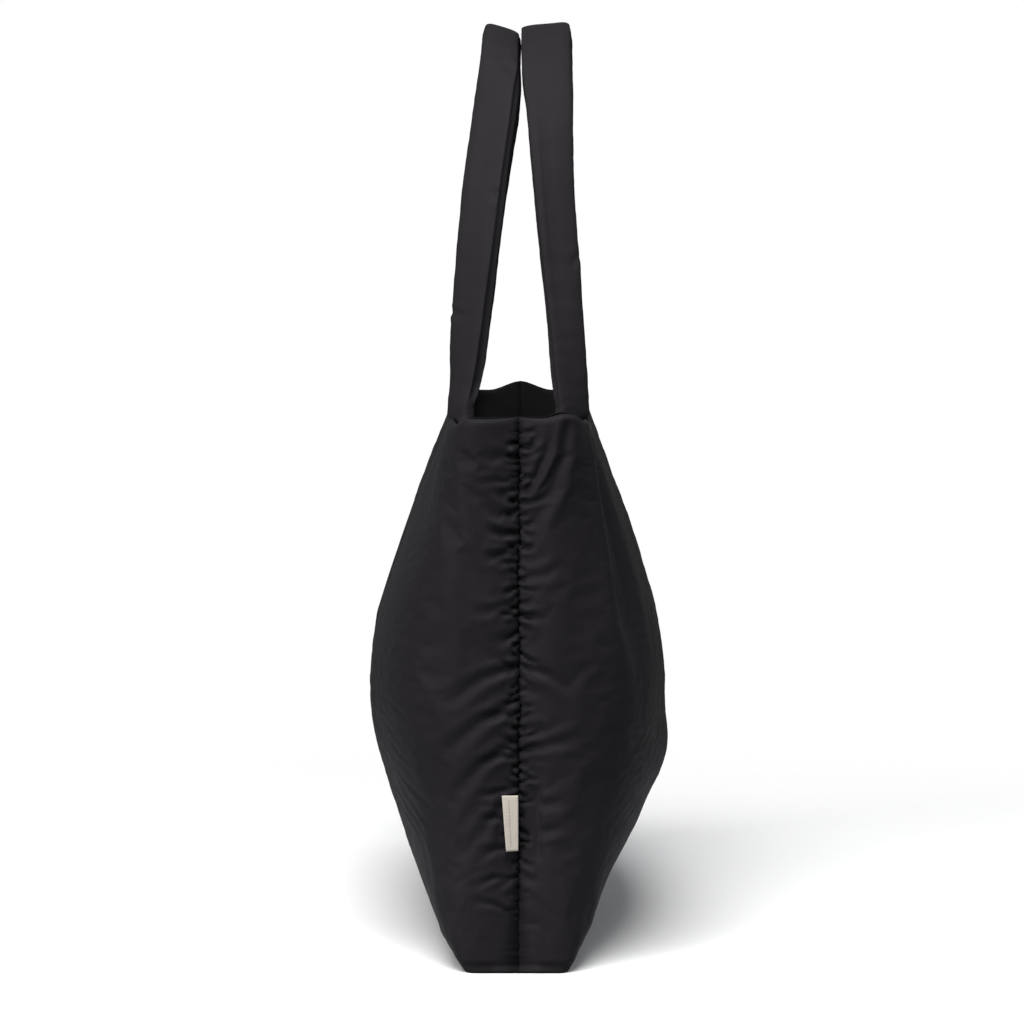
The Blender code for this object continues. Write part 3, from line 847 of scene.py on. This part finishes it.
def strap_path(word):
    """Centres of the strap's rings, its half sizes and its roll: up from the front tail, over, and down.

    The rings lie closest by the feet, where the strap bends.
    """
    side = SIDES[word]
    spec = HANDLES[word]
    part = np.linspace(0, 1, HANDLE_RINGS + 1)
    turn = math.pi * (part - 0.72 * np.sin(2 * math.pi * part) / (2 * math.pi))
    rise = np.maximum(np.sin(turn), 0.0)
    reach = np.interp(rise, *smooth_table(spec["reach"]))
    height = HANDLE_FOOT + spec["rise"] * rise
    arch = np.stack((HANDLE_HALF_SPAN * np.cos(turn), side * reach, height), axis=1)
    arch[:, 1] += SWAY * smooth_step(-arch[:, 0] / 0.032) * smooth_step((rise - 0.40) / 0.4)
    wide, thin, roll = strap_form(word, rise)
    down = np.linspace(1, 0, TAIL_RINGS, endpoint=False)
    z = HANDLE_FOOT - down * TAIL_LENGTH
    sewn = smooth_step((down - 0.16) / 0.26)
    y = (1 - sewn) * reach[0] + sewn * (inner_y(word, HANDLE_HALF_SPAN, z) - 0.0045)
    tail = np.stack((0 * z + HANDLE_HALF_SPAN, side * y, z), axis=1)
    tail_thin = thin[0] + (TAIL_THIN - thin[0]) * sewn
    tail_wide = wide[0] + (TAIL_WIDE - wide[0]) * smooth_step(down / 0.4)
    tail_roll = roll[0] + (90 - roll[0]) * smooth_step((down - 0.12) / 0.28)
    mirrored = tail[::-1] * (-1, 1, 1)
    centre = np.concatenate((tail, arch, mirrored))
    forms = ((tail_wide, wide), (tail_thin, thin), (tail_roll, roll))
    return centre, *[np.concatenate((tail_form, form, tail_form[::-1])) for tail_form, form in forms]


def make_handle(word, material):
    side = SIDES[word]
    centre, wide, thin, roll = strap_path(word)
    along = np.gradient(centre, axis=0)
    along[:, 1] = 0.0
    along /= np.linalg.norm(along, axis=1, keepdims=True)
    depth = np.array((0.0, 1.0, 0.0))
    inward = np.cross(along, depth)
    lean = np.radians(roll) * side
    wide_axis = (depth * np.cos(lean)[:, None] + inward * np.sin(lean)[:, None])[:, None]
    thin_axis = (inward * np.cos(lean)[:, None] - depth * np.sin(lean)[:, None])[:, None]
    wide, thin = wide[:, None], thin[:, None]
    a = 2 * math.pi * np.arange(HANDLE_SIDES) / HANDLE_SIDES
    u = np.sign(np.cos(a)) * np.abs(np.cos(a)) ** 0.50
    v = np.sign(np.sin(a)) * np.abs(np.sin(a)) ** 0.50
    grid = centre[:, None] + wide_axis * (wide * u)[..., None] + thin_axis * (thin * v)[..., None]
    inner_edge = np.exp(-(v / 0.55) ** 2) * (u * side < 0)
    groove = GROOVE[word] * inner_edge * smooth_step((grid[..., 2] - HANDLE_FOOT) / 0.02)
    grid += side * wide_axis * groove[..., None]
    out = wide_axis * (u / wide)[..., None] + thin_axis * (v / thin)[..., None]
    out /= np.linalg.norm(out, axis=-1, keepdims=True)
    run = np.cumsum(np.concatenate(([0.0], np.linalg.norm(np.diff(centre, axis=0), axis=1))))[:, None]
    cloth = np.stack(np.broadcast_arrays(run, wide * u, np.sign(v) * 0.05), axis=-1)
    crumple = (value_noise(cloth * (0.6, 1.5, 1), 30.0, 31.0 + side, 2) * 0.0008
               + value_noise(cloth * (1.6, 0.5, 1), 70.0, 41.0 + side, 2) * 0.0004)
    from_top = np.abs(run - 0.5 * run[-1]) + 0 * u
    front_face = smooth_step(-v / 0.5) * (grid[..., 0] > 0)
    for points, deep, broad in STRAP_FOLDS[word]:
        line = [(d, part * 0.016) for d, part in points]
        crumple += front_face * fold(from_top, side * -0.016 * u, line, deep, broad)
    free = smooth_step((grid[..., 2] - HEIGHT + 0.010) / 0.01)
    grid += out * (crumple * free)[..., None]
    rings = len(grid)
    faces = grid_quads(rings, HANDLE_SIDES, closed=True)
    last = (rings - 1) * HANDLE_SIDES
    faces.append(tuple(range(HANDLE_SIDES))[::-1])
    faces.append(tuple(range(last, last + HANDLE_SIDES)))
    thing = make_mesh(f"strap_{word}", grid.reshape(-1, 3), faces, material)
    face_out(thing)
    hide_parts(f"handle_cover_{word}", f"handle_core_{word}")
    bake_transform(thing)
    return thing


WEBBING_THICKNESS = 0.0013
TACK_HALF_WIDTH = 0.0125


def make_anchors(word, material, thread):
    """Webbing patches behind the strap's flat ends, with the stitching that holds the ends on."""
    side = SIDES[word]
    for end, place_word in ((1, "front"), (-1, "rear")):
        low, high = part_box(f"handle_anchor_{word}_{place_word}")
        top = HANDLE_FOOT - 0.4 * TAIL_LENGTH
        levels = np.linspace(low.z, top, 24)
        across = np.linspace(low.x, high.x, 16)
        rows = []
        for z in levels:
            y = inner_y(word, HANDLE_HALF_SPAN, z) - 0.0016
            rows.append([(x, side * y, z) for x in across])
        patch = make_cloth(f"anchor_{word}_{place_word}", np.array(rows), material, WEBBING_THICKNESS)
        finish_piece(patch, "bag", "webbing", f"handle_anchor_{word}_{place_word}")
        foot, head = HANDLE_FOOT - TAIL_LENGTH + 0.005, HANDLE_FOOT - TAIL_LENGTH + 0.024
        left, right = -TACK_HALF_WIDTH, TACK_HALF_WIDTH
        corners = [(left, foot), (right, foot), (right, head), (left, head), (left, foot), (right, head),
                   (right, foot), (left, head)]
        path = []
        for (x0, z0), (x1, z1) in zip(corners, corners[1:]):
            for t in np.linspace(0, 1, 9)[:-1]:
                x, z = x0 + (x1 - x0) * t, z0 + (z1 - z0) * t
                y = inner_y(word, HANDLE_HALF_SPAN, z) - 0.0064
                path.append((end * (HANDLE_HALF_SPAN + x), side * y, z))
        tacks = stitches(f"tacking_{word}_{place_word}", path, 0.0022, 0.00030, thread)
        finish_piece(tacks, "bag", "webbing")


# ---------------------------------------- label

def label_swing(part):
    """How far the label stands out from the wall, from its lower end, 0, to its upper end, 1."""
    return math.radians(5 + 12 * (1 - part) ** 1.3)


def label_width(part):
    """Share of its width that the label shows: it is caught a little askew in the seam."""
    return 0.72 + 0.22 * part


RIBBON_THICKNESS = 0.0003
FOLD_RADIUS = 0.00028
RIBBON_BOW = 0.0007
LABEL_STITCHES = 13


def label_point(x, y, part):
    """Place of a point of the label: x off its middle plane, y from the seam, part from foot to top."""
    low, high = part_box("side_label")
    swing = label_swing(part)
    y = y * label_width(part)
    bow = RIBBON_BOW * math.sin(math.pi * part) * (y / (high.y - low.y)) ** 2
    return (0.5 * (low.x + high.x) + x * math.cos(swing) - y * math.sin(swing) + bow,
            high.y + y * math.cos(swing) + x * math.sin(swing), low.z + part * (high.z - low.z))


def make_label(material, thread):
    """A short woven ribbon folded in two, its ends caught in the seam and its lower corner turned out."""
    low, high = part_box("side_label")
    width, height = high.y - low.y, high.z - low.z
    steps, levels = 12, 26
    line = [(FOLD_RADIUS, -width * k / steps) for k in range(steps)]
    line += [(FOLD_RADIUS * math.cos(a), -width - FOLD_RADIUS * math.sin(a))
             for a in np.linspace(0, math.pi, 7)]
    line += [(-FOLD_RADIUS, -width * k / steps) for k in range(steps - 1, -1, -1)]
    grid = np.array([[label_point(x, y, j / levels) for x, y in line] for j in range(levels + 1)])
    label = make_mesh("woven_label", grid.reshape(-1, 3), grid_quads(*grid.shape[:2]), material)
    shell = label.modifiers.new("thickness", "SOLIDIFY")
    shell.thickness = RIBBON_THICKNESS
    shell.offset = 0.0
    apply_modifiers(label)
    label.data.shade_smooth()
    finish_piece(label, "label", "cream_ribbon", "side_label")
    dashes = [label_point(FOLD_RADIUS + 0.00022, -0.62 * width, part)
              for part in np.linspace(0.10, 0.90, LABEL_STITCHES)]
    row = stitches("label_stitches", dashes, 0.0019, 0.00016, thread, as_given=True)
    return finish_piece(row, "label", "cream_ribbon")


# ---------------------------------------- stitching

def stitches(name, path, length, radius, material, gap=0.0012, as_given=False):
    """Short round stitches along a path of points, all in one mesh. as_given puts one at each point."""
    path = np.array(path, float)
    if as_given:
        middles, along = path, np.gradient(path, axis=0)
    else:
        steps = np.linalg.norm(np.diff(path, axis=0), axis=1)
        run = np.concatenate(([0.0], np.cumsum(steps)))
        count = int(run[-1] / (length + gap))
        at = (np.arange(count) + 0.5) * run[-1] / count
        middles = np.stack([np.interp(at, run, path[:, k]) for k in range(3)], axis=1)
        ahead = np.stack([np.interp(at + 0.0005, run, path[:, k]) for k in range(3)], axis=1)
        behind = np.stack([np.interp(at - 0.0005, run, path[:, k]) for k in range(3)], axis=1)
        along = ahead - behind
    along /= np.linalg.norm(along, axis=1, keepdims=True)
    points, faces = [], []
    sides = 6
    for middle, direction in zip(middles, along):
        across = np.cross(direction, (0.31, 0.17, 0.93))
        across /= np.linalg.norm(across)
        third = np.cross(direction, across)
        start = len(points)
        for part, size in ((-0.5, 0.35), (-0.36, 1.0), (0.36, 1.0), (0.5, 0.35)):
            for k in range(sides):
                a = 2 * math.pi * k / sides
                points.append(middle + direction * length * part
                              + size * radius * (across * math.cos(a) + third * math.sin(a)))
        faces += [tuple(start + i for i in face) for face in grid_quads(4, sides, closed=True)]
        faces.append(tuple(start + k for k in range(sides))[::-1])
        faces.append(tuple(start + 3 * sides + k for k in range(sides)))
    thing = make_mesh(name, points, faces, material)
    face_out(thing)
    return thing


# ---------------------------------------- studio

def area_light(name, place_at, aim, size, power, colour=(1, 1, 1)):
    light = bpy.data.lights.new(name, "AREA")
    light.shape = "SQUARE"
    light.size = size
    light.energy = power
    light.color = colour
    holder = bpy.data.objects.new(name, light)
    holder.location = place_at
    holder.rotation_euler = (Vector(aim) - Vector(place_at)).to_track_quat("-Z", "Y").to_euler()
    bpy.context.scene.collection.objects.link(holder)


FLOOR_SEEN = (0.93, 0.93, 0.93)
FLOOR_BOUNCE = (0.42, 0.43, 0.45)
FLOOR_FADE = (0.45, 1.00)
FLOOR_HALF = 1.5


def make_floor():
    """A pale floor that gives back less light than it shows, and fades into the white surroundings."""
    material, tree, shader = new_material("studio_floor", FLOOR_SEEN, 0.9)
    shader.inputs["Specular IOR Level"].default_value = 0.1
    seen = add_node(tree, "ShaderNodeMix", data_type="RGBA")
    tree.links.new(add_node(tree, "ShaderNodeLightPath").outputs["Is Camera Ray"], seen.inputs["Factor"])
    bounced, shown = [socket for socket in seen.inputs if socket.type == "RGBA"]
    bounced.default_value = (*FLOOR_BOUNCE, 1.0)
    shown.default_value = (*FLOOR_SEEN, 1.0)
    tinted = next(socket for socket in seen.outputs if socket.type == "RGBA")
    tree.links.new(tinted, shader.inputs["Base Color"])
    far = add_node(tree, "ShaderNodeVectorMath", operation="LENGTH")
    tree.links.new(place(tree), far.inputs[0])
    fade = add_node(tree, "ShaderNodeMapRange", interpolation_type="SMOOTHSTEP")
    fade.inputs["From Min"].default_value, fade.inputs["From Max"].default_value = FLOOR_FADE
    tree.links.new(far.outputs["Value"], fade.inputs["Value"])
    clear = add_node(tree, "ShaderNodeBsdfTransparent")
    mix = add_node(tree, "ShaderNodeMixShader")
    tree.links.new(fade.outputs[0], mix.inputs[0])
    tree.links.new(shader.outputs[0], mix.inputs[1])
    tree.links.new(clear.outputs[0], mix.inputs[2])
    tree.links.new(mix.outputs[0], tree.nodes["Material Output"].inputs["Surface"])
    half = FLOOR_HALF
    corners = [(x, y, 0.0) for x, y in ((-half, -half), (half, -half), (half, half), (-half, half))]
    floor = make_mesh("studio_floor", corners, [(0, 1, 2, 3)], material)
    floor.location.z = -0.0004


def make_studio():
    make_floor()
    world = bpy.data.worlds.new("studio")
    bpy.context.scene.world = world
    world.use_nodes = True
    tree = world.node_tree
    white = tree.nodes["Background"]
    white.inputs["Color"].default_value = (1.0, 1.0, 1.0, 1.0)
    dim = add_node(tree, "ShaderNodeBackground", Strength=0.24)
    dim.inputs["Color"].default_value = (0.96, 0.98, 1.0, 1.0)
    mix = add_node(tree, "ShaderNodeMixShader")
    tree.links.new(add_node(tree, "ShaderNodeLightPath").outputs["Is Camera Ray"], mix.inputs[0])
    tree.links.new(dim.outputs[0], mix.inputs[1])
    tree.links.new(white.outputs[0], mix.inputs[2])
    tree.links.new(mix.outputs[0], tree.nodes["World Output"].inputs["Surface"])
    bpy.context.scene.view_settings.view_transform = "Standard"
    area_light("key", (2.0, -2.2, 0.85), (0, 0, 0.25), 1.2, 56.0, (1.0, 0.985, 0.97))
    area_light("top", (1.5, -0.22, 2.6), (0, 0, 0.1), 1.8, 126.0)
    area_light("fill", (0.8, 2.5, 1.7), (0, 0, 0.45), 1.0, 9.0, (0.95, 0.97, 1.0))


def make_camera():
    """A long lens in front of the front end, a little over the rim."""
    camera = bpy.data.objects.new("camera", bpy.data.cameras.new("camera"))
    bpy.context.scene.collection.objects.link(camera)
    camera.data.sensor_width = 36.0
    camera.data.lens = 147.7
    camera.data.clip_end = 100.0
    camera.location = (RIM_HALF_LENGTH + 2.964, 0.0068, 0.5567)
    pitch = math.radians(4.298)
    yaw = math.radians(0.226)
    aim = Vector((-math.cos(pitch), -math.sin(yaw), -math.sin(pitch)))
    camera.rotation_euler = aim.to_track_quat("-Z", "Y").to_euler()
    bpy.context.scene.camera = camera


# ---------------------------------------- assembly

make_camera()
make_studio()

NYLON = cloth_material("nylon", (0.0118, 0.0106, 0.0121), 0.48, sheen=0.0, specular=0.04)
STRAP_NYLON = cloth_material("strap_nylon", (0.0146, 0.0132, 0.0149), 0.60, sheen=0.0, specular=0.04)
# The lining and facing are black, and darker than the outer nylon: partly their own colour, partly painted
# shade for the inside of the bag.
LINING_WITH_PAINTED_SHADE = cloth_material("lining", (0.0036, 0.0034, 0.0036), 0.75, sheen=0.0, specular=0.06)
WEBBING = cloth_material("webbing_tape", (0.018, 0.018, 0.019), 0.75, threads=1200.0, weave=0.0001)
RIBBON = cloth_material("label_ribbon", (0.385, 0.345, 0.296), 0.85, threads=2600.0, mottle=0.06)
STEEL = hard_material("snap_steel", (0.30, 0.30, 0.31), 0.35, metallic=1.0)
BOARD = hard_material("board", (0.02, 0.02, 0.021), 0.6)

POCKET_CLOTH = cloth_material("pocket", (0.0080, 0.0077, 0.0080), 0.75, sheen=0.0, specular=0.08)
THREAD = cloth_material("thread", (0.020, 0.019, 0.020), 0.60, threads=5000.0, crinkle=0.0001)
LABEL_THREAD = cloth_material("label_thread", (0.16, 0.15, 0.14), 0.75, threads=5000.0, crinkle=0.0001)

make_label(RIBBON, LABEL_THREAD)
for side_word in SIDES:
    rim_roll = make_outer(side_word, NYLON)
    make_lining(side_word, LINING_WITH_PAINTED_SHADE)
    make_facing(side_word, rim_roll, LINING_WITH_PAINTED_SHADE, THREAD)
    make_handle(side_word, STRAP_NYLON)
    make_anchors(side_word, WEBBING, THREAD)
make_pocket(POCKET_CLOTH, THREAD)

NODE_FINISH = {"snap": STEEL, "base_board": BOARD, "seam_tape": WEBBING}
for node_name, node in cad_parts.items():
    for start, finish in NODE_FINISH.items():
        if node_name.startswith(start):
            node.data.materials.clear()
            node.data.materials.append(finish)
